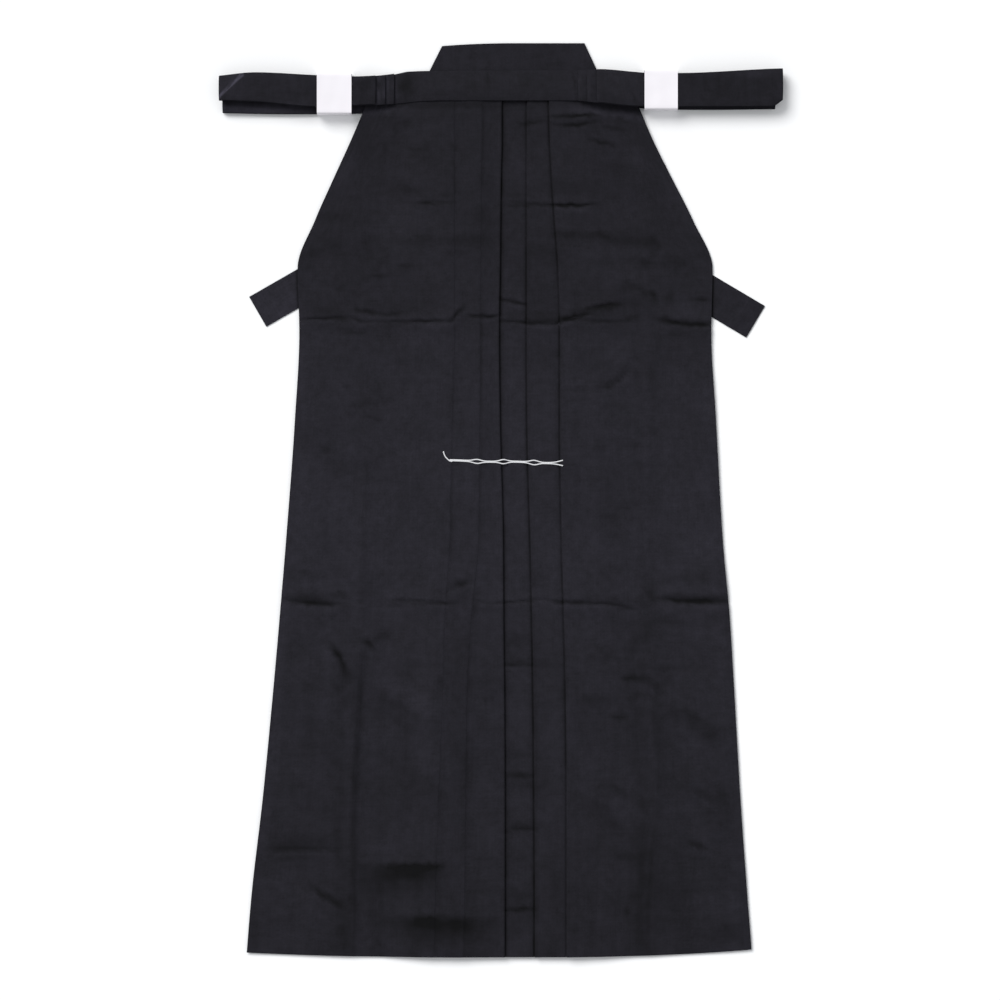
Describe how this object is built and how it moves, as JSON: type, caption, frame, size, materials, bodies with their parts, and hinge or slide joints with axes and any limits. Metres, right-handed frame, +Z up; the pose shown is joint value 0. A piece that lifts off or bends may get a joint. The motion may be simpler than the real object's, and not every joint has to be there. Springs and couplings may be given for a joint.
{
  "type": "hakama trousers",
  "caption": "Pleated wide-legged hakama trousers laid flat, front up, with a stiff back board and long ties folded into bundles.",
  "frame": {"origin": "middle of the bounding box, on the surface that the garment lies on", "axes": "+Y from the hem towards the waist, +X to the wearer's left, +Z up out of the front of the garment"},
  "size_m": [0.6378, 1.0338, 0.0219],
  "materials": {
    "panel_cloth": "matt black plain weave, pressed",
    "board_cloth": "matt black plain weave over a stiff board",
    "tie_cloth": "matt black plain weave, doubled and pressed",
    "tab_cloth": "matt black plain weave",
    "paper": "smooth white paper"
  },
  "bodies": {
    "root": {"front_leg_right": "panel_cloth", "front_leg_left": "panel_cloth", "back_leg_right": "panel_cloth", "back_leg_left": "panel_cloth", "back_board": "board_cloth", "front_tie": "tie_cloth", "back_tie_right": "tie_cloth", "back_tie_left": "tie_cloth", "slit_tab_right": "tab_cloth", "slit_tab_left": "tab_cloth", "paper_band_right": "paper", "paper_band_left": "paper"}
  },
  "joints": []
}
